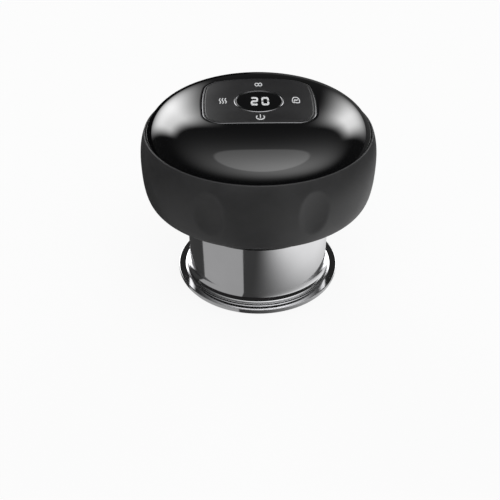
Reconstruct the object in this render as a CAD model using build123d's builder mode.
from build123d import *

import os
from math import cos, hypot, radians, sin

os.makedirs("parts", exist_ok=True)

# Clearances that the pieces share
seat_gap = 0.1
fit_gap = 0.05
run_gap = 0.04
overrun = 1.0

# Cup
cup_height = 37.9
cup_neck_radius = 31.5
cup_wall = 2.2
cup_edge_round = 0.5
neck_foot_z = 8.2
bead_top_z = 5.6
bead_step = 1.2
bead_height = 2.1
bead_bulge = 1.5
flange_width = 5.4
flange_thickness = 3.1
flange_edge_round = 0.4
rest_inset = 1.3
mouth_round = 3.0

# Socket that the cup plugs into
socket_grip = 6.0
socket_clearance = 0.2
socket_wall = 1.8
socket_ceiling = 2.8
socket_edge = 0.5
ledge_thickness = 1.0
seal_thickness = 1.2
seal_width = 2.5
seal_edge_round = 0.3

# Faces over the skin
heat_ring_width = 9.7
light_window_thickness = 1.7
heat_plate_inset = 4.6
heat_plate_thickness = 2.1
plate_edge_round = 0.6
ledge_margin = 1.0
light_board_thickness = 1.2
led_length = 2.8
led_width = 2.0
led_thickness = 0.8
led_count = 8

# Suction nozzle and air filter
nozzle_head_radius = 5.0
nozzle_stem_radius = 2.6
air_bore_radius = 1.25
barb_radius = 1.9
barb_bead = 0.2
barb_bead_length = 1.2
filter_radius = 3.5
filter_thickness = 1.2
stem_clearance = 0.3

# Housing
housing_wall = 3.2
body_room = 5.7
turn_inset = 4.0
turn_rise = 1.8
cone_margin = 1.0
belly_height = 14.9
seam_rise = 13.2
belly_side_share = 0.88
belly_foot_share = 0.63
dome_side_share = 0.867
dome_top_share = 0.78
lip_width = 0.55
lip_depth = 1.3
groove_width = 0.35
lip_edge = 0.2
dimple_depth = 1.6
dimple_round_radius = 18.0
dimple_barrel_radius = 56.0
dimple_half_height = 14.0
dimple_angle = 24.0
dimple_edge_round = 1.2

# Cover
cover_wall = 2.8
skirt_thickness = 1.6
skirt_depth = 3.0
skirt_rise = 3.4
skirt_clearance = 2.6
post_inset = 9.0
post_gap = 0.2
post_side_gap = 0.8
post_radius = 2.8
post_foot_rise = 6.8
boss_radius = 3.2
board_boss_radius = 2.5
board_boss_spacing = 34.0

# Touch panel and display
panel_half_width = 23.2
panel_half_depth = 21.5
panel_bow = 1.4
panel_corner_radius = 9.0
panel_shift = 1.5
panel_thickness = 1.2
key_offset = 15.5
key_drop = 0.3
display_shift = 1.2
bezel_radius = 10.2
bezel_width = 0.7
bezel_proud = 0.15
lens_ledge = 0.8
digits_width = 12.4
digits_depth = 10.2
digits_drop = 0.6
spring_hole_radius = 3.6
touch_spring_radius = 2.5
touch_wire_radius = 0.25
touch_spring_turns = 5

# Main board
board_inset = 20.0
board_thickness = 1.6
board_room = 2.1
key_room = 6.65
chip_side = 6.0
chip_thickness = 1.0
chip_x = 11.5
chip_y = 10.5
plug_length = 8.0
plug_width = 4.4
plug_height = 4.0
plug_x = -11.0
plug_y = -10.5

# Small screws
screw_radius = 0.95
screw_head_radius = 1.8
screw_head_height = 1.2
screw_recess = 0.6
screw_recess_width = 0.5
screw_bite = 2.0
long_screw_head_radius = 2.1
long_screw_length = 12.0
head_room_gap = 0.2
socket_screw_count = 6
socket_screw_turn = 15.0
frame_screw_inset = 9.0
frame_screw_count = 4

# Inner frame
frame_lift = 1.8
frame_thickness = 1.6
frame_inset = 10.0
frame_boss_radius = 2.6
notch_gap = 0.8

# Battery
cell_radius = 9.1
cell_length = 50.0
cell_y = -20.0
cell_edge_round = 0.8
cap_radius = 3.0
cap_height = 1.0
pad_thickness = 1.0
pad_rise = 1.6
pad_inset = 3.0
pad_width = 11.0

# Clamps of the battery and of the pump
clamp_thickness = 1.2
clamp_width = 7.0
clamp_foot_length = 4.0
battery_clamp_offset = 10.0
pump_clamp_width = 10.0

# Motor
motor_radius = 10.0
motor_length = 25.0
motor_wall = 0.8
motor_edge_round = 0.8
magnet_thickness = 1.6
magnet_length = 14.0
magnet_angle = 120.0
magnet_gap = 0.1
core_radius = 6.9
core_length = 11.0
commutator_radius = 2.4
commutator_length = 3.0
shaft_radius = 1.0
bush_radius = 2.5
bush_length = 1.8
end_cap_thickness = 2.0
sleeve_thickness = 1.4
sleeve_length = 16.0
sleeve_inset = 3.0

# Pump
pump_y = 17.0
motor_front_x = -2.0
pump_side = 22.0
pump_corner_round = 1.6
pump_head_length = 10.0
pump_wall = 1.0
eccentric_radius = 3.0
eccentric_length = 3.0
eccentric_start = 1.8
crank_radius = 0.8
crank_offset = 0.8
crank_length = 2.8
wobble_radius = 7.4
wobble_thickness = 1.4
wobble_boss_radius = 3.6
wobble_boss_length = 2.4
diaphragm_thickness = 1.2
chamber_count = 3
chamber_circle_radius = 4.6
chamber_radius = 2.3
chamber_depth = 2.6
diaphragm_cup_height = 0.9
diaphragm_cup_radius = 2.2
pump_cover_length = 8.8
pump_screw_inset = 2.2
pump_screw_bite = 4.0
pump_screw_radius = 0.7
pump_screw_head_radius = 1.3
pump_nozzle_length = 5.0

# Air line
valve_gap = 1.6
tee_arm_length = 5.0
tube_wall = 0.7
tube_bend_radius = 6.0
tube_grip = 4.0

# Release valve
valve_side = 10.8
valve_depth = 12.0
valve_height = 13.4
valve_wall = 0.8
valve_y = -16.5
valve_cap_radius = 4.2
valve_cap_height = 5.4
valve_barb_rise = 3.0
valve_spigot_radius = 2.4
valve_spigot_depth = 1.4
plunger_radius = 2.6
plunger_neck_radius = 1.2
plunger_neck_length = 1.4
plunger_stroke = 0.75
coil_gap = 0.2
coil_thickness = 1.7
coil_room = 0.4
valve_wire_radius = 0.15
valve_spring_radius = 1.75
valve_spring_turns = 4

# Charging port
port_width = 9.0
port_height = 3.2
port_length = 7.3
port_wall = 0.3
port_depth = 6.5
port_recess = 0.9
tongue_width = 6.7
tongue_thickness = 0.7
tongue_length = 5.5
port_rise = 11.4
gasket_wall = 0.6
gasket_length = 2.0
port_board_width = 14.0
port_board_length = 11.0
port_board_thickness = 1.2
port_board_overlap = 3.3
port_post_radius = 2.2
port_post_spacing = 9.0
port_post_inset = 3.0

# Heights, from the skin upwards
seal_z = cup_height + seat_gap
ceiling_z = seal_z + seal_thickness
underside_z = ceiling_z + socket_ceiling
ledge_z = underside_z - ledge_thickness
socket_foot_z = cup_height - socket_grip
floor_z = underside_z + housing_wall
frame_z = floor_z + frame_lift
frame_top_z = frame_z + frame_thickness
sleeve_radius = motor_radius + fit_gap + sleeve_thickness
pump_axis_z = frame_top_z + seat_gap + sleeve_radius
pump_clamp_bore = sleeve_radius + fit_gap
board_z = pump_axis_z + pump_clamp_bore + clamp_thickness + board_room
board_top_z = board_z + board_thickness
top_z = board_top_z + key_room + panel_thickness
turn_z = underside_z + turn_rise
widest_z = turn_z + belly_height
seam_z = widest_z + seam_rise
lip_z = seam_z - lip_depth
valve_top_z = frame_top_z + valve_height
tube_z = valve_top_z + valve_barb_rise
post_foot_z = floor_z + post_foot_rise
cell_z = frame_top_z + pad_thickness + cell_radius
port_z = frame_top_z + port_rise

# Radii that follow from the pieces they meet
pump_head_end_x = motor_front_x + pump_head_length
diaphragm_end_x = pump_head_end_x + diaphragm_thickness
cover_end_x = diaphragm_end_x + pump_cover_length
tee_x = cover_end_x + pump_nozzle_length + tube_bend_radius
cell_x = tee_x - valve_side / 2 - valve_gap - cap_height - cell_length / 2
cell_reach = hypot(abs(cell_x) + cell_length / 2, cell_radius - cell_y)
pump_clamp_x = motor_front_x - motor_length + sleeve_inset + sleeve_length / 2
pump_clamp_reach = pump_clamp_width / 2 - pump_clamp_x
cell_clamp_reach = battery_clamp_offset + clamp_width / 2 - cell_x
post_x = max(pump_clamp_reach, cell_clamp_reach) + post_side_gap + boss_radius
post_y = cell_radius - cell_y + post_gap + boss_radius
post_places = [(post_x, post_y), (-post_x, post_y), (-post_x, -post_y), (post_x, -post_y)]
body_radius = max(hypot(post_x, post_y) + post_inset, cell_reach + body_room + housing_wall)
turn_radius = body_radius - turn_inset
frame_radius = body_radius - frame_inset
board_radius = body_radius - board_inset
bead_top_radius = cup_neck_radius + bead_step
flange_radius = cup_neck_radius + flange_width
cup_bore_radius = cup_neck_radius - cup_wall
heat_plate_radius = cup_bore_radius - heat_plate_inset
socket_bore_radius = cup_neck_radius + socket_clearance
socket_radius = socket_bore_radius + socket_wall
cone_radius = socket_radius + cone_margin
heat_pocket_radius = heat_plate_radius + seat_gap
light_window_radius = heat_plate_radius - heat_ring_width
ledge_radius = light_window_radius + ledge_margin
led_circle_radius = (light_window_radius + nozzle_head_radius) / 2
light_board_radius = ledge_radius + 2 * ledge_thickness
board_opening_radius = light_board_radius + seat_gap
window_hole_radius = nozzle_head_radius + seat_gap
tube_bore_radius = barb_radius + fit_gap
tube_radius = tube_bore_radius + tube_wall
cover_radius = body_radius - lip_width - groove_width
screw_hole_radius = screw_radius + fit_gap
lens_radius = bezel_radius - bezel_width - seat_gap
lens_hole_radius = lens_radius - lens_ledge
pump_axis = (pump_y, pump_axis_z)
socket_screw_circle_radius = (heat_pocket_radius + socket_bore_radius) / 2
frame_screw_circle_radius = frame_radius - frame_screw_inset
pad_length = cell_length - 2 * pad_inset
half_spacing = board_boss_spacing / 2
board_boss_places = [(side * half_spacing, end * half_spacing) for side in (-1, 1) for end in (-1, 1)]
key_places = [(key_offset, 0), (0, key_offset), (-key_offset, 0), (0, -key_offset)]


def body_outline(inset):
    """Half section of the whole body, moved inwards by inset, as a closed wire."""
    radius = body_radius - inset
    foot_radius = turn_radius - inset
    foot_z = turn_z + inset
    base_z = underside_z + inset
    crown_z = top_z - inset
    foot_reach = belly_foot_share * (radius - foot_radius)
    cone_slope = turn_rise / (turn_radius - cone_radius)
    belly_z = widest_z - belly_side_share * (widest_z - foot_z)
    shoulder_z = widest_z + dome_side_share * (crown_z - widest_z)
    Polyline((0, crown_z), (0, base_z), (cone_radius, base_z), (foot_radius, foot_z))
    Bezier((foot_radius, foot_z), (foot_radius + foot_reach, foot_z + foot_reach * cone_slope),
           (radius, belly_z), (radius, widest_z))
    Bezier((radius, widest_z), (radius, shoulder_z), (dome_top_share * radius, crown_z), (0, crown_z))


def dome_outline(inset):
    """Half section under the cover's dome, moved inwards by inset, down to the posts' feet."""
    radius = cover_radius - inset
    crown_z = top_z - inset
    shoulder_z = widest_z + dome_side_share * (crown_z - widest_z)
    Polyline((0, crown_z), (0, post_foot_z), (radius, post_foot_z), (radius, widest_z))
    Bezier((radius, widest_z), (radius, shoulder_z), (dome_top_share * radius, crown_z), (0, crown_z))


def dome_solid(inset):
    """The solid under the cover's dome, moved inwards by inset."""
    with BuildPart() as made:
        with BuildSketch(Plane.XZ):
            with BuildLine():
                dome_outline(inset)
            make_face()
        revolve(axis=Axis.Z)
    return made.part


def panel_outline(growth):
    """Rounded square with bowed sides, grown outwards by growth."""
    half_width = panel_half_width + growth
    half_depth = panel_half_depth + growth
    corner_x = half_width - panel_bow
    corner_y = half_depth - panel_bow
    with BuildSketch() as made:
        with BuildLine():
            ThreePointArc((corner_x, -corner_y), (half_width, 0), (corner_x, corner_y))
            ThreePointArc((corner_x, corner_y), (0, half_depth), (-corner_x, corner_y))
            ThreePointArc((-corner_x, corner_y), (-half_width, 0), (-corner_x, -corner_y))
            ThreePointArc((-corner_x, -corner_y), (0, -half_depth), (corner_x, -corner_y))
        make_face()
        fillet(made.vertices(), radius=panel_corner_radius + growth)
    return made.sketch


def screw(shank_radius, shank_length, head_radius):
    """A round-headed screw, with the head's seat at z zero and the shank pointing down."""
    with BuildPart() as made:
        with BuildSketch():
            Circle(shank_radius)
        extrude(amount=-shank_length)
        with BuildSketch():
            Circle(head_radius)
        extrude(amount=screw_head_height)
        chamfer(made.edges().sort_by(Axis.Z)[-1], length=screw_recess_width / 2)
        with BuildSketch(Plane.XY.offset(screw_head_height)):
            Rectangle(head_radius, screw_recess_width)
            Rectangle(screw_recess_width, head_radius)
        extrude(amount=-screw_recess, mode=Mode.SUBTRACT)
    return made.part


def coil_spring(radius, wire_radius, height, turns):
    """A helical spring that stands on z zero."""
    rise = height - 2 * wire_radius
    with BuildPart() as made:
        with BuildLine(Plane.XY.offset(wire_radius)) as path:
            Helix(pitch=rise / turns, height=rise, radius=radius)
        with BuildSketch(Plane(origin=path.line @ 0, z_dir=path.line % 0)):
            Circle(wire_radius)
        sweep(is_frenet=True)
    return made.part


def arch_clamp(bore, height, width):
    """A strap over a cylinder along X, with the cylinder's axis at the origin and feet below."""
    outer = bore + clamp_thickness
    foot_end = outer + clamp_foot_length
    with BuildPart() as made:
        with BuildSketch(Plane.YZ):
            Circle(outer)
            with Locations((0, -outer)):
                Rectangle(2 * outer, 2 * outer, mode=Mode.SUBTRACT)
            Circle(bore, mode=Mode.SUBTRACT)
            for side in (-1, 1):
                with Locations((side * (bore + outer) / 2, -height / 2)):
                    Rectangle(clamp_thickness, height)
                with Locations((side * (bore + foot_end) / 2, clamp_thickness / 2 - height)):
                    Rectangle(foot_end - bore, clamp_thickness)
        extrude(amount=width / 2, both=True)
        with BuildSketch(Plane.XY.offset(-height)):
            with Locations((0, (outer + foot_end) / 2), (0, -(outer + foot_end) / 2)):
                Circle(screw_hole_radius)
        extrude(amount=clamp_thickness, mode=Mode.SUBTRACT)
    return made.part


def clamp_screw_places(bore, x, y):
    """Where the two screws of an arch clamp stand."""
    reach = bore + clamp_thickness + clamp_foot_length / 2
    return [(x, y - reach), (x, y + reach)]


cell_clamp_bore = cell_radius + fit_gap
cell_clamp_xs = (cell_x - battery_clamp_offset, cell_x + battery_clamp_offset)
clamp_places = clamp_screw_places(pump_clamp_bore, pump_clamp_x, pump_y)
for clamp_x in cell_clamp_xs:
    clamp_places += clamp_screw_places(cell_clamp_bore, clamp_x, cell_y)
port_mouth_y = body_radius - port_recess
port_back_y = port_mouth_y - port_length
port_board_end_y = port_back_y + port_board_overlap
port_post_y = port_board_end_y - port_board_length + port_post_inset
port_post_places = [(-port_post_spacing / 2, port_post_y), (port_post_spacing / 2, port_post_y)]

# The cup, with its bead and the flange that it stands on
with BuildPart() as cup:
    bead_foot_z = bead_top_z - bead_height
    bead_foot_radius = bead_top_radius + bead_bulge - flange_edge_round / 2
    rest_radius = flange_radius - rest_inset
    with BuildSketch(Plane.XZ):
        with BuildLine():
            Polyline((cup_bore_radius, mouth_round), (cup_bore_radius, cup_height),
                     (cup_neck_radius, cup_height), (cup_neck_radius, neck_foot_z))
            Bezier((cup_neck_radius, neck_foot_z), (cup_neck_radius, bead_top_z),
                   (bead_top_radius, bead_top_z))
            ThreePointArc((bead_top_radius, bead_top_z),
                          (bead_top_radius + bead_bulge, bead_top_z - bead_height / 2),
                          (bead_foot_radius, bead_foot_z))
            Polyline((bead_foot_radius, bead_foot_z), (bead_foot_radius, flange_thickness),
                     (flange_radius - flange_edge_round, flange_thickness))
            Bezier((flange_radius - flange_edge_round, flange_thickness),
                   (flange_radius, flange_thickness),
                   (flange_radius, flange_thickness - flange_edge_round))
            Bezier((flange_radius, flange_thickness - flange_edge_round),
                   (flange_radius, flange_edge_round), (rest_radius, 0))
            Line((rest_radius, 0), (cup_bore_radius + mouth_round, 0))
            Bezier((cup_bore_radius + mouth_round, 0), (cup_bore_radius, 0),
                   (cup_bore_radius, mouth_round))
        make_face()
    revolve(axis=Axis.Z)
    fillet(cup.faces().sort_by(Axis.Z)[-1].edges(), radius=cup_edge_round)

# Silicone ring that the cup's top edge closes against
with BuildPart() as cup_seal:
    with BuildSketch(Plane.XY.offset(seal_z)):
        Circle(socket_bore_radius - seat_gap)
        Circle(socket_bore_radius - seat_gap - seal_width, mode=Mode.SUBTRACT)
    extrude(amount=seal_thickness)
    fillet(cup_seal.faces().sort_by(Axis.Z)[0].edges(), radius=seal_edge_round)

# Collar and ceiling that hold the cup, the heat plate and the light window
with BuildPart() as cup_socket:
    with BuildSketch(Plane.XY.offset(socket_foot_z)):
        Circle(socket_radius)
    extrude(amount=underside_z - socket_foot_z)
    with BuildSketch(Plane.XY.offset(socket_foot_z)):
        Circle(socket_bore_radius)
    extrude(amount=ceiling_z - socket_foot_z, mode=Mode.SUBTRACT)
    with BuildSketch(Plane.XY.offset(ceiling_z)):
        Circle(heat_pocket_radius)
    extrude(amount=ledge_z - ceiling_z, mode=Mode.SUBTRACT)
    with BuildSketch(Plane.XY.offset(ledge_z)):
        Circle(ledge_radius)
    extrude(amount=ledge_thickness, mode=Mode.SUBTRACT)
    with BuildSketch(Plane.XY.offset(underside_z)):
        with PolarLocations(socket_screw_circle_radius, socket_screw_count, socket_screw_turn):
            Circle(screw_hole_radius)
    extrude(amount=-screw_bite - fit_gap, mode=Mode.SUBTRACT)
    chamfer(cup_socket.faces().sort_by(Axis.Z)[0].edges(), length=socket_edge)

# Metal ring that warms the skin
with BuildPart() as heat_plate:
    with BuildSketch(Plane.XY.offset(ledge_z - heat_plate_thickness)):
        Circle(heat_plate_radius)
        Circle(light_window_radius + seat_gap, mode=Mode.SUBTRACT)
    extrude(amount=heat_plate_thickness)
    fillet(heat_plate.faces().sort_by(Axis.Z)[0].edges(), radius=plate_edge_round)

# Clear disc in front of the red lights
with BuildPart() as light_window:
    with BuildSketch(Plane.XY.offset(ledge_z - light_window_thickness)):
        Circle(light_window_radius)
        Circle(window_hole_radius, mode=Mode.SUBTRACT)
    extrude(amount=light_window_thickness)
    fillet(light_window.faces().sort_by(Axis.Z)[0].edges(), radius=plate_edge_round / 2)

# Round board that carries the lights, on the socket's ledge
with BuildPart() as light_board:
    with BuildSketch(Plane.XY.offset(underside_z)):
        Circle(light_board_radius)
        Circle(nozzle_stem_radius + seat_gap, mode=Mode.SUBTRACT)
    extrude(amount=light_board_thickness)

with BuildPart() as light_leds:
    with BuildSketch(Plane.XY.offset(underside_z)):
        with PolarLocations(led_circle_radius, led_count):
            Rectangle(led_length, led_width)
    extrude(amount=-led_thickness)

# Nozzle that draws the air out of the cup, with its side barb for the tube
with BuildPart() as suction_nozzle:
    nozzle_foot_z = ledge_z - light_window_thickness + seat_gap
    with BuildSketch(Plane.XY.offset(nozzle_foot_z)):
        Circle(nozzle_head_radius)
    extrude(amount=underside_z - nozzle_foot_z)
    with BuildSketch(Plane.XY.offset(underside_z)):
        Circle(nozzle_stem_radius)
    extrude(amount=tube_z + nozzle_stem_radius - underside_z)
    fillet(suction_nozzle.edges().sort_by(Axis.Z)[-1], radius=barb_bead)
    barb_root_x = nozzle_stem_radius
    with BuildSketch(Plane.YZ):
        with Locations((0, tube_z)):
            Circle(barb_radius)
    extrude(amount=barb_root_x + tube_grip)
    with BuildSketch(Plane.YZ.offset(barb_root_x + tube_grip - barb_bead_length)):
        with Locations((0, tube_z)):
            Circle(barb_radius + fit_gap / 2)
    extrude(amount=barb_bead_length)
    with BuildSketch(Plane.XY.offset(nozzle_foot_z)):
        Circle(air_bore_radius)
    extrude(amount=tube_z - nozzle_foot_z, mode=Mode.SUBTRACT)
    with BuildSketch(Plane.YZ):
        with Locations((0, tube_z)):
            Circle(air_bore_radius)
    extrude(amount=barb_root_x + tube_grip + overrun, mode=Mode.SUBTRACT)
    with BuildSketch(Plane.XY.offset(nozzle_foot_z)):
        Circle(filter_radius + seat_gap)
    extrude(amount=filter_thickness + seat_gap, mode=Mode.SUBTRACT)

with BuildPart() as air_filter:
    with BuildSketch(Plane.XY.offset(nozzle_foot_z + seat_gap)):
        Circle(filter_radius)
    extrude(amount=filter_thickness)

# Vertical barrel that scoops one finger dimple
with BuildPart() as dimple_cutter:
    barrel_end_radius = dimple_round_radius - dimple_half_height**2 / (2 * dimple_barrel_radius)
    with BuildSketch(Plane.XZ):
        with BuildLine():
            Polyline((barrel_end_radius, widest_z + dimple_half_height),
                     (0, widest_z + dimple_half_height), (0, widest_z - dimple_half_height),
                     (barrel_end_radius, widest_z - dimple_half_height))
            ThreePointArc((barrel_end_radius, widest_z - dimple_half_height),
                          (dimple_round_radius, widest_z),
                          (barrel_end_radius, widest_z + dimple_half_height))
        make_face()
    revolve(axis=Axis.Z)

# What the lip round the cover leaves open
with BuildPart() as lip_cutter:
    with BuildSketch(Plane.XZ):
        with BuildLine():
            body_outline(lip_width)
        make_face()
    revolve(axis=Axis.Z)
    split(bisect_by=Plane.XY.offset(lip_z), keep=Keep.TOP)

# Matte housing: a bowl with a lip for the cover, bosses, dimples and the charging hole
with BuildPart() as lower_housing:
    with BuildSketch(Plane.XZ):
        with BuildLine():
            body_outline(0)
        make_face()
    revolve(axis=Axis.Z)
    split(bisect_by=Plane.XY.offset(seam_z), keep=Keep.BOTTOM)
    dimple_axis_radius = body_radius - dimple_depth + dimple_round_radius
    dimple_places = [
        (dimple_axis_radius * sin(radians(turn)), -dimple_axis_radius * cos(radians(turn)))
        for turn in (dimple_angle, -dimple_angle, 180 - dimple_angle, 180 + dimple_angle)
    ]
    with Locations(*dimple_places):
        add(dimple_cutter.part, mode=Mode.SUBTRACT)
    dimple_faces = lower_housing.faces(Select.LAST).sort_by(SortBy.AREA)[:len(dimple_places)]
    fillet(dimple_faces.edges(), radius=dimple_edge_round)
    with BuildSketch(Plane.XZ):
        with BuildLine():
            body_outline(housing_wall)
        make_face()
    revolve(axis=Axis.Z, mode=Mode.SUBTRACT)
    add(lip_cutter.part, mode=Mode.SUBTRACT)
    chamfer(lower_housing.faces().sort_by(Axis.Z)[-1].edges(), length=lip_edge)
    with BuildSketch(Plane.XY.offset(floor_z)):
        with PolarLocations(frame_screw_circle_radius, frame_screw_count):
            Circle(frame_boss_radius)
    extrude(amount=frame_lift)
    with BuildSketch(Plane.XY.offset(floor_z)):
        with Locations(*post_places):
            Circle(boss_radius)
    extrude(amount=post_foot_rise - seat_gap)
    with BuildSketch(Plane.XY.offset(frame_z)):
        with PolarLocations(frame_screw_circle_radius, frame_screw_count):
            Circle(screw_hole_radius)
    extrude(amount=-screw_bite - fit_gap, mode=Mode.SUBTRACT)
    with BuildSketch(Plane.XY.offset(underside_z)):
        with Locations(*post_places):
            Circle(long_screw_head_radius + head_room_gap)
    extrude(amount=housing_wall + head_room_gap, mode=Mode.SUBTRACT)
    with BuildSketch(Plane.XY.offset(underside_z)):
        with Locations(*post_places):
            Circle(screw_hole_radius)
        with PolarLocations(socket_screw_circle_radius, socket_screw_count, socket_screw_turn):
            Circle(screw_hole_radius)
        Circle(board_opening_radius)
    extrude(amount=post_foot_z - underside_z, mode=Mode.SUBTRACT)
    with BuildSketch(Plane.XZ.offset(-body_radius)):
        with Locations((0, port_z)):
            SlotOverall(port_width + 2 * gasket_wall + 2 * seat_gap,
                        port_height + 2 * gasket_wall + 2 * seat_gap)
    extrude(amount=body_radius - port_back_y, mode=Mode.SUBTRACT)

# Posts and bosses on the cover's inside, cut to the dome
with BuildPart() as cover_posts:
    with BuildSketch(Plane.XY.offset(post_foot_z)):
        with Locations(*post_places):
            Circle(post_radius)
    extrude(amount=top_z - post_foot_z)
    with BuildSketch(Plane.XY.offset(board_top_z)):
        with Locations(*board_boss_places):
            Circle(board_boss_radius)
    extrude(amount=top_z - board_top_z)
    add(dome_solid((cover_wall + panel_thickness) / 2), mode=Mode.INTERSECT)

# Pocket that the touch panel lies in, and the panel's own thin shell
with BuildPart() as panel_pocket:
    with BuildSketch(Plane.XY.offset(widest_z)):
        with Locations((0, panel_shift)):
            add(panel_outline(seat_gap))
    extrude(amount=top_z - widest_z + overrun)
    add(dome_solid(panel_thickness), mode=Mode.SUBTRACT)

# Gloss dome with its skirt, posts, panel pocket and the holes for display and springs
with BuildPart() as top_cover:
    add(dome_solid(0))
    split(bisect_by=Plane.XY.offset(lip_z + seat_gap), keep=Keep.TOP)
    add(dome_solid(cover_wall), mode=Mode.SUBTRACT)
    skirt_radius = body_radius - housing_wall - skirt_clearance
    with BuildSketch(Plane.XY.offset(lip_z - skirt_depth)):
        Circle(skirt_radius)
        Circle(skirt_radius - skirt_thickness, mode=Mode.SUBTRACT)
    extrude(amount=skirt_depth + skirt_rise)
    add(cover_posts.part)
    add(panel_pocket.part, mode=Mode.SUBTRACT)
    with BuildSketch(Plane.XY.offset(board_top_z)):
        with Locations((0, -display_shift)):
            Circle(lens_hole_radius)
        with Locations(*key_places):
            Circle(spring_hole_radius)
    extrude(amount=top_z - board_top_z, mode=Mode.SUBTRACT)
    with BuildSketch(Plane.XY.offset(post_foot_z)):
        with Locations(*post_places):
            Circle(screw_hole_radius)
    extrude(amount=long_screw_length, mode=Mode.SUBTRACT)
    with BuildSketch(Plane.XY.offset(board_top_z)):
        with Locations(*board_boss_places):
            Circle(screw_hole_radius)
    extrude(amount=screw_bite, mode=Mode.SUBTRACT)

# Satin touch panel, flush with the dome, with a round opening for the display
with BuildPart() as touch_panel:
    with BuildSketch(Plane.XY.offset(widest_z)):
        with Locations((0, panel_shift)):
            add(panel_outline(0))
        with Locations((0, -display_shift)):
            Circle(bezel_radius + fit_gap, mode=Mode.SUBTRACT)
    extrude(amount=top_z - widest_z + overrun)
    add(dome_solid(0), mode=Mode.INTERSECT)
    add(dome_solid(panel_thickness - fit_gap), mode=Mode.SUBTRACT)

# Round window over the digits, and the thin ring round it
with BuildPart() as display_lens:
    with BuildSketch(Plane.XY.offset(widest_z)):
        with Locations((0, -display_shift)):
            Circle(lens_radius)
    extrude(amount=top_z - widest_z)
    add(dome_solid(0), mode=Mode.INTERSECT)
    add(dome_solid(panel_thickness - fit_gap), mode=Mode.SUBTRACT)

with BuildPart() as display_bezel:
    with BuildSketch(Plane.XY.offset(widest_z)):
        with Locations((0, -display_shift)):
            Circle(bezel_radius)
            Circle(bezel_radius - bezel_width, mode=Mode.SUBTRACT)
    extrude(amount=top_z - widest_z + bezel_proud)
    add(dome_solid(panel_thickness - fit_gap), mode=Mode.SUBTRACT)
    chamfer(display_bezel.faces().sort_by(Axis.Z)[-1].edges(), length=bezel_proud)

# Main board with the display block, the contact springs, a chip and the battery plug
with BuildPart() as main_board:
    with BuildSketch(Plane.XY.offset(board_z)):
        Circle(board_radius)
        with Locations(*board_boss_places):
            Circle(screw_hole_radius, mode=Mode.SUBTRACT)
    extrude(amount=board_thickness)

with BuildPart() as display_module:
    with BuildSketch(Plane.XY.offset(board_top_z)):
        with Locations((0, -display_shift)):
            Rectangle(digits_width, digits_depth)
    extrude(amount=key_room - digits_drop)
    chamfer(display_module.edges().filter_by(Axis.Z), length=digits_drop)

touch_spring = coil_spring(
    touch_spring_radius, touch_wire_radius, key_room - seat_gap - key_drop, touch_spring_turns
)
with BuildPart() as touch_springs:
    with Locations(*[(x, y, board_top_z) for x, y in key_places]):
        add(touch_spring)

with BuildPart() as control_chip:
    with BuildSketch(Plane.XY.offset(board_top_z)):
        with Locations((chip_x, chip_y)):
            Rectangle(chip_side, chip_side)
    extrude(amount=chip_thickness)

with BuildPart() as battery_plug:
    with BuildSketch(Plane.XY.offset(board_top_z)):
        with Locations((plug_x, plug_y)):
            Rectangle(plug_length, plug_width)
    extrude(amount=plug_height)

# Screws: under the main board, in the socket, in the frame, in the clamps, in the housing
with BuildPart() as board_screws:
    board_screw = screw(screw_radius, board_thickness + screw_bite - fit_gap, screw_head_radius)
    with Locations(*[(x, y, board_z) for x, y in board_boss_places]):
        add(board_screw, rotation=(180, 0, 0))

with BuildPart() as socket_screws:
    socket_screw = screw(screw_radius, housing_wall + screw_bite, screw_head_radius)
    with Locations((0, 0, floor_z)):
        with PolarLocations(socket_screw_circle_radius, socket_screw_count, socket_screw_turn):
            add(socket_screw)

with BuildPart() as frame_screws:
    frame_screw = screw(screw_radius, frame_thickness + screw_bite, screw_head_radius)
    with Locations((0, 0, frame_top_z)):
        with PolarLocations(frame_screw_circle_radius, frame_screw_count):
            add(frame_screw)

with BuildPart() as clamp_screws:
    clamp_screw = screw(screw_radius, clamp_thickness + frame_thickness, screw_head_radius)
    with Locations(*[(x, y, frame_top_z + clamp_thickness) for x, y in clamp_places]):
        add(clamp_screw)

with BuildPart() as housing_screws:
    head_seat_z = floor_z + head_room_gap
    housing_screw = screw(
        screw_radius, post_foot_z - head_seat_z + long_screw_length - fit_gap, long_screw_head_radius
    )
    with Locations(*[(x, y, head_seat_z) for x, y in post_places]):
        add(housing_screw, rotation=(180, 0, 0))

# Plate that carries the battery, pump, valve and charging board
with BuildPart() as inner_frame:
    with BuildSketch(Plane.XY.offset(frame_z)):
        Circle(frame_radius)
        Circle(nozzle_stem_radius + stem_clearance, mode=Mode.SUBTRACT)
        with Locations(*post_places):
            Circle(boss_radius + notch_gap, mode=Mode.SUBTRACT)
        with PolarLocations(frame_screw_circle_radius, frame_screw_count):
            Circle(screw_hole_radius, mode=Mode.SUBTRACT)
        with Locations(*clamp_places):
            Circle(screw_hole_radius, mode=Mode.SUBTRACT)
    extrude(amount=frame_thickness)
    with BuildSketch(Plane.XY.offset(frame_top_z)):
        with Locations(*port_post_places):
            Circle(port_post_radius)
            Circle(screw_hole_radius, mode=Mode.SUBTRACT)
    extrude(amount=port_z - port_height / 2 - port_board_thickness - frame_top_z)

# Battery, its pad and the two straps over it
with BuildPart() as battery_cell:
    with BuildSketch(Plane.YZ.offset(cell_x - cell_length / 2)):
        with Locations((cell_y, cell_z)):
            Circle(cell_radius)
    extrude(amount=cell_length)
    fillet(battery_cell.edges().filter_by(GeomType.CIRCLE), radius=cell_edge_round)
    with BuildSketch(Plane.YZ.offset(cell_x + cell_length / 2)):
        with Locations((cell_y, cell_z)):
            Circle(cap_radius)
    extrude(amount=cap_height)

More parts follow.
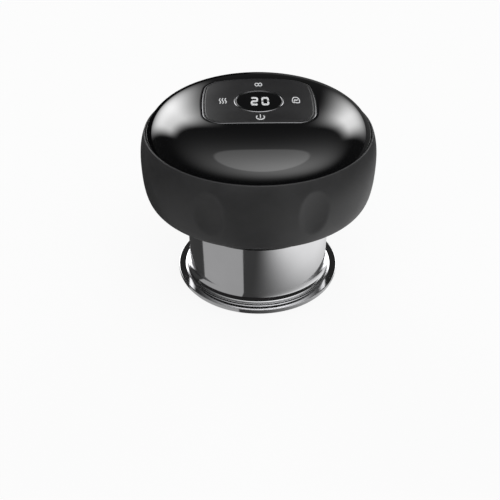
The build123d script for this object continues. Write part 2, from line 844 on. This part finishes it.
with BuildPart() as battery_pad:
    with BuildSketch(Plane.YZ.offset(cell_x - pad_length / 2)):
        with Locations((cell_y, frame_top_z + (pad_thickness + pad_rise) / 2)):
            Rectangle(pad_width, pad_thickness + pad_rise)
        with Locations((cell_y, cell_z)):
            Circle(cell_radius + fit_gap, mode=Mode.SUBTRACT)
    extrude(amount=pad_length)

battery_clamp = arch_clamp(cell_clamp_bore, cell_z - frame_top_z, clamp_width)
with BuildPart() as battery_clamps:
    with Locations(*[(x, cell_y, cell_z) for x in cell_clamp_xs]):
        add(battery_clamp)

# Motor: can, magnets, bushes, end cap and the turning rotor with its crank pin
motor_back_x = motor_front_x - motor_length
with BuildPart() as motor_can:
    with BuildSketch(Plane.YZ.offset(motor_back_x)):
        with Locations(pump_axis):
            Circle(motor_radius)
    extrude(amount=motor_length)
    fillet(motor_can.edges().filter_by(GeomType.CIRCLE).sort_by(Axis.X)[-1], radius=motor_edge_round)
    with BuildSketch(Plane.YZ.offset(motor_back_x)):
        with Locations(pump_axis):
            Circle(motor_radius - motor_wall)
    extrude(amount=motor_length - bush_length, mode=Mode.SUBTRACT)
    with BuildSketch(Plane.YZ.offset(motor_front_x)):
        with Locations(pump_axis):
            Circle(bush_radius)
    extrude(amount=-bush_length, mode=Mode.SUBTRACT)

with BuildPart() as motor_end_cap:
    with BuildSketch(Plane.YZ.offset(motor_back_x)):
        with Locations(pump_axis):
            Circle(motor_radius - motor_wall - fit_gap)
            Circle(bush_radius, mode=Mode.SUBTRACT)
    extrude(amount=end_cap_thickness)

with BuildPart() as motor_magnets:
    magnet_outer = motor_radius - motor_wall - magnet_gap
    magnet_start_x = motor_front_x - bush_length - magnet_gap - magnet_length
    with BuildSketch(Plane.YZ.offset(magnet_start_x)):
        with Locations(pump_axis):
            Circle(magnet_outer)
            Circle(magnet_outer - magnet_thickness, mode=Mode.SUBTRACT)
            Rectangle(2 * magnet_outer, 2 * magnet_outer * cos(radians(magnet_angle / 2)),
                      mode=Mode.SUBTRACT)
    extrude(amount=magnet_length)

with BuildPart() as motor_bushes:
    for bush_x in (motor_back_x, motor_front_x - bush_length):
        with BuildSketch(Plane.YZ.offset(bush_x)):
            with Locations(pump_axis):
                Circle(bush_radius)
                Circle(shaft_radius + run_gap, mode=Mode.SUBTRACT)
        extrude(amount=bush_length)

with BuildPart() as motor_rotor:
    hub_x = motor_front_x + eccentric_start
    core_x = magnet_start_x + (magnet_length - core_length) / 2
    shaft_start_x = motor_back_x - seat_gap
    with BuildSketch(Plane.YZ.offset(shaft_start_x)):
        with Locations(pump_axis):
            Circle(shaft_radius)
    extrude(amount=hub_x - shaft_start_x)
    with BuildSketch(Plane.YZ.offset(core_x)):
        with Locations(pump_axis):
            Circle(core_radius)
    extrude(amount=core_length)
    with BuildSketch(Plane.YZ.offset(core_x - commutator_length)):
        with Locations(pump_axis):
            Circle(commutator_radius)
    extrude(amount=commutator_length)
    with BuildSketch(Plane.YZ.offset(hub_x)):
        with Locations(pump_axis):
            Circle(eccentric_radius)
    extrude(amount=eccentric_length)
    with BuildSketch(Plane.YZ.offset(hub_x + eccentric_length)):
        with Locations((pump_y, pump_axis_z + crank_offset)):
            Circle(crank_radius)
    extrude(amount=crank_length)

with BuildPart() as motor_sleeve:
    with BuildSketch(Plane.YZ.offset(motor_back_x + sleeve_inset)):
        with Locations(pump_axis):
            Circle(sleeve_radius)
            Circle(motor_radius + fit_gap, mode=Mode.SUBTRACT)
    extrude(amount=sleeve_length)

with BuildPart() as pump_clamp:
    with Locations((pump_clamp_x, pump_y, pump_axis_z)):
        add(arch_clamp(pump_clamp_bore, pump_axis_z - frame_top_z, pump_clamp_width))

# Pump: crank chamber, wobble plate, diaphragm and valve cover, held by four long screws
half_screw_spacing = pump_side / 2 - pump_screw_inset
pump_screw_places = [
    (pump_y + side * half_screw_spacing, pump_axis_z + end * half_screw_spacing)
    for side in (-1, 1) for end in (-1, 1)
]
with BuildPart() as pump_head:
    with BuildSketch(Plane.YZ.offset(motor_front_x)):
        with Locations(pump_axis):
            RectangleRounded(pump_side, pump_side, pump_corner_round)
    extrude(amount=pump_head_length)
    with BuildSketch(Plane.YZ.offset(motor_front_x + pump_wall)):
        with Locations(pump_axis):
            Circle(wobble_radius + pump_wall)
    extrude(amount=pump_head_length, mode=Mode.SUBTRACT)
    with BuildSketch(Plane.YZ.offset(motor_front_x)):
        with Locations(pump_axis):
            Circle(bush_radius)
    extrude(amount=pump_wall, mode=Mode.SUBTRACT)
    with BuildSketch(Plane.YZ.offset(pump_head_end_x)):
        with Locations(*pump_screw_places):
            Circle(pump_screw_radius + fit_gap)
    extrude(amount=-pump_screw_bite - fit_gap, mode=Mode.SUBTRACT)

with BuildPart() as wobble_plate:
    plate_end_x = pump_head_end_x - diaphragm_cup_height - fit_gap
    with BuildSketch(Plane.YZ.offset(plate_end_x - wobble_thickness)):
        with Locations(pump_axis):
            Circle(wobble_radius)
    extrude(amount=wobble_thickness)
    with BuildSketch(Plane.YZ.offset(plate_end_x - wobble_thickness - wobble_boss_length)):
        with Locations(pump_axis):
            Circle(wobble_boss_radius)
    extrude(amount=wobble_boss_length)
    with BuildSketch(Plane.YZ.offset(plate_end_x - wobble_thickness - wobble_boss_length)):
        with Locations(pump_axis):
            Circle(crank_offset + crank_radius + seat_gap)
    extrude(amount=crank_length + seat_gap, mode=Mode.SUBTRACT)

with BuildPart() as pump_diaphragm:
    with BuildSketch(Plane.YZ.offset(pump_head_end_x)):
        with Locations(pump_axis):
            RectangleRounded(pump_side, pump_side, pump_corner_round)
        with Locations(*pump_screw_places):
            Circle(pump_screw_radius + fit_gap, mode=Mode.SUBTRACT)
    extrude(amount=diaphragm_thickness)
    with BuildSketch(Plane.YZ.offset(pump_head_end_x)):
        with Locations(pump_axis):
            with PolarLocations(chamber_circle_radius, chamber_count):
                Circle(diaphragm_cup_radius)
    extrude(amount=-diaphragm_cup_height)

with BuildPart() as pump_cover:
    with BuildSketch(Plane.YZ.offset(diaphragm_end_x)):
        with Locations(pump_axis):
            RectangleRounded(pump_side, pump_side, pump_corner_round)
        with Locations(*pump_screw_places):
            Circle(pump_screw_radius + fit_gap, mode=Mode.SUBTRACT)
    extrude(amount=pump_cover_length)
    with BuildSketch(Plane.YZ.offset(diaphragm_end_x)):
        with Locations(pump_axis):
            with PolarLocations(chamber_circle_radius, chamber_count):
                Circle(chamber_radius)
    extrude(amount=chamber_depth, mode=Mode.SUBTRACT)
    with BuildSketch(Plane.YZ.offset(cover_end_x)):
        with Locations((pump_y, tube_z)):
            Circle(barb_radius)
    extrude(amount=pump_nozzle_length)
    with BuildSketch(Plane.YZ.offset(cover_end_x + pump_nozzle_length)):
        with Locations((pump_y, tube_z)):
            Circle(air_bore_radius)
    extrude(amount=-pump_nozzle_length - pump_cover_length, mode=Mode.SUBTRACT)

with BuildPart() as pump_screws:
    pump_screw = screw(
        pump_screw_radius, pump_cover_length + diaphragm_thickness + pump_screw_bite,
        pump_screw_head_radius
    )
    with Locations(*[(cover_end_x, y, z) for y, z in pump_screw_places]):
        add(pump_screw, rotation=(0, 90, 0))

# Air line: tee and the three silicone tubes
with BuildPart() as tee_joint:
    with BuildSketch(Plane.XZ.offset(-tee_arm_length)):
        with Locations((tee_x, tube_z)):
            Circle(barb_radius)
    extrude(amount=2 * tee_arm_length)
    with BuildSketch(Plane.YZ.offset(tee_x - tee_arm_length)):
        with Locations((0, tube_z)):
            Circle(barb_radius)
    extrude(amount=tee_arm_length)
    with BuildSketch(Plane.XZ.offset(-tee_arm_length)):
        with Locations((tee_x, tube_z)):
            Circle(air_bore_radius)
    extrude(amount=2 * tee_arm_length, mode=Mode.SUBTRACT)
    with BuildSketch(Plane.YZ.offset(tee_x - tee_arm_length)):
        with Locations((0, tube_z)):
            Circle(air_bore_radius)
    extrude(amount=tee_arm_length, mode=Mode.SUBTRACT)

tee_shoulder = tube_radius + seat_gap
with BuildPart() as nozzle_tube:
    with BuildSketch(Plane.YZ.offset(barb_root_x + seat_gap)):
        with Locations((0, tube_z)):
            Circle(tube_radius)
            Circle(tube_bore_radius, mode=Mode.SUBTRACT)
    extrude(amount=tee_x - tee_shoulder - barb_root_x - seat_gap)

with BuildPart() as pump_tube:
    with BuildLine() as pump_tube_path:
        FilletPolyline(
            (tee_x, tee_shoulder, tube_z), (tee_x, pump_y, tube_z),
            (cover_end_x + seat_gap, pump_y, tube_z), radius=tube_bend_radius
        )
    with BuildSketch(Plane(origin=pump_tube_path.line @ 0, z_dir=pump_tube_path.line % 0)):
        Circle(tube_radius)
        Circle(tube_bore_radius, mode=Mode.SUBTRACT)
    sweep()

with BuildPart() as valve_tube:
    with BuildSketch(Plane.XZ.offset(tee_shoulder)):
        with Locations((tee_x, tube_z)):
            Circle(tube_radius)
            Circle(tube_bore_radius, mode=Mode.SUBTRACT)
    extrude(amount=-valve_y - valve_cap_radius - seat_gap - tee_shoulder)

# Release valve: yoke, coil, plunger, spring and the nozzle with its seat
valve_place = (tee_x, valve_y)
spigot_z = valve_top_z - valve_wall - valve_spigot_depth
plunger_foot_z = frame_top_z + valve_wall + seat_gap
neck_z = spigot_z - plunger_stroke - fit_gap - plunger_neck_length
with BuildPart() as valve_yoke:
    with BuildSketch(Plane.XY.offset(frame_top_z)):
        with Locations(valve_place):
            Rectangle(valve_side, valve_depth)
    extrude(amount=valve_height)
    with BuildSketch(Plane.XY.offset(frame_top_z + valve_wall)):
        with Locations(valve_place):
            Rectangle(valve_side - 2 * valve_wall, valve_depth)
    extrude(amount=valve_height - 2 * valve_wall, mode=Mode.SUBTRACT)
    with BuildSketch(Plane.XY.offset(valve_top_z)):
        with Locations(valve_place):
            Circle(valve_spigot_radius + fit_gap)
    extrude(amount=-valve_wall, mode=Mode.SUBTRACT)

with BuildPart() as valve_coil:
    coil_bore = plunger_radius + coil_gap
    coil_z = frame_top_z + valve_wall
    coil_height = valve_height - 2 * valve_wall - coil_room
    with BuildSketch(Plane.XY.offset(coil_z)):
        with Locations(valve_place):
            Circle(coil_bore + coil_thickness)
            Circle(coil_bore, mode=Mode.SUBTRACT)
    extrude(amount=coil_height)

with BuildPart() as valve_plunger:
    with BuildSketch(Plane.XY.offset(plunger_foot_z)):
        with Locations(valve_place):
            Circle(plunger_radius)
    extrude(amount=neck_z - plunger_foot_z)
    with BuildSketch(Plane.XY.offset(neck_z)):
        with Locations(valve_place):
            Circle(plunger_neck_radius)
    extrude(amount=plunger_neck_length)

with BuildPart() as valve_spring:
    with Locations((tee_x, valve_y, neck_z)):
        add(coil_spring(valve_spring_radius, valve_wire_radius, spigot_z - neck_z, valve_spring_turns))

with BuildPart() as valve_nozzle:
    with BuildSketch(Plane.XY.offset(valve_top_z)):
        with Locations(valve_place):
            Circle(valve_cap_radius)
    extrude(amount=valve_cap_height)
    with BuildSketch(Plane.XY.offset(spigot_z)):
        with Locations(valve_place):
            Circle(valve_spigot_radius)
    extrude(amount=valve_top_z - spigot_z)
    with BuildSketch(Plane.XZ.offset(-valve_y)):
        with Locations((tee_x, tube_z)):
            Circle(barb_radius)
    extrude(amount=-valve_cap_radius - tube_grip)
    with BuildSketch(Plane.XZ.offset(-valve_y)):
        with Locations((tee_x, tube_z)):
            Circle(air_bore_radius)
    extrude(amount=-valve_cap_radius - tube_grip, mode=Mode.SUBTRACT)
    with BuildSketch(Plane.XY.offset(spigot_z)):
        with Locations(valve_place):
            Circle(air_bore_radius)
    extrude(amount=tube_z - spigot_z, mode=Mode.SUBTRACT)

# Charging port with its board, gasket and screws
with BuildPart() as usb_port:
    with BuildSketch(Plane.XZ.offset(-port_mouth_y)):
        with Locations((0, port_z)):
            SlotOverall(port_width, port_height)
    extrude(amount=port_length)
    with BuildSketch(Plane.XZ.offset(-port_mouth_y)):
        with Locations((0, port_z)):
            SlotOverall(port_width - 2 * port_wall, port_height - 2 * port_wall)
    extrude(amount=port_depth, mode=Mode.SUBTRACT)
    with BuildSketch(Plane.XZ.offset(port_depth - port_mouth_y)):
        with Locations((0, port_z)):
            Rectangle(tongue_width, tongue_thickness)
    extrude(amount=-tongue_length)

with BuildPart() as usb_board:
    port_board_z = port_z - port_height / 2 - port_board_thickness
    with BuildSketch(Plane.XY.offset(port_board_z)):
        with Locations((0, port_board_end_y - port_board_length / 2)):
            Rectangle(port_board_width, port_board_length)
        with Locations(*port_post_places):
            Circle(screw_hole_radius, mode=Mode.SUBTRACT)
    extrude(amount=port_board_thickness)

with BuildPart() as usb_gasket:
    with BuildSketch(Plane.XZ.offset(-port_mouth_y)):
        with Locations((0, port_z)):
            SlotOverall(port_width + 2 * gasket_wall + seat_gap, port_height + 2 * gasket_wall + seat_gap)
            SlotOverall(port_width + seat_gap, port_height + seat_gap, mode=Mode.SUBTRACT)
    extrude(amount=gasket_length)

with BuildPart() as usb_screws:
    usb_screw = screw(screw_radius, port_board_thickness + screw_bite, screw_head_radius)
    with Locations(*[(x, y, port_board_z + port_board_thickness) for x, y in port_post_places]):
        add(usb_screw)

pieces = {
    "cup": cup, "cup_seal": cup_seal, "cup_socket": cup_socket, "socket_screws": socket_screws,
    "heat_plate": heat_plate, "light_window": light_window, "light_board": light_board,
    "light_leds": light_leds, "suction_nozzle": suction_nozzle, "air_filter": air_filter,
    "lower_housing": lower_housing, "housing_screws": housing_screws, "top_cover": top_cover,
    "touch_panel": touch_panel, "display_bezel": display_bezel, "display_lens": display_lens,
    "display_module": display_module, "touch_springs": touch_springs, "main_board": main_board,
    "control_chip": control_chip, "battery_plug": battery_plug, "board_screws": board_screws,
    "inner_frame": inner_frame, "frame_screws": frame_screws, "battery_cell": battery_cell,
    "battery_pad": battery_pad, "battery_clamps": battery_clamps, "clamp_screws": clamp_screws,
    "motor_can": motor_can, "motor_end_cap": motor_end_cap, "motor_magnets": motor_magnets,
    "motor_bushes": motor_bushes, "motor_rotor": motor_rotor, "motor_sleeve": motor_sleeve,
    "pump_clamp": pump_clamp, "pump_head": pump_head, "wobble_plate": wobble_plate,
    "pump_diaphragm": pump_diaphragm, "pump_cover": pump_cover, "pump_screws": pump_screws,
    "tee_joint": tee_joint, "nozzle_tube": nozzle_tube, "pump_tube": pump_tube,
    "valve_tube": valve_tube, "valve_yoke": valve_yoke, "valve_coil": valve_coil,
    "valve_plunger": valve_plunger, "valve_spring": valve_spring, "valve_nozzle": valve_nozzle,
    "usb_port": usb_port, "usb_board": usb_board, "usb_gasket": usb_gasket, "usb_screws": usb_screws,
}
for name, piece in pieces.items():
    piece.part.label = name
    export_step(piece.part, f"parts/{name}.step")
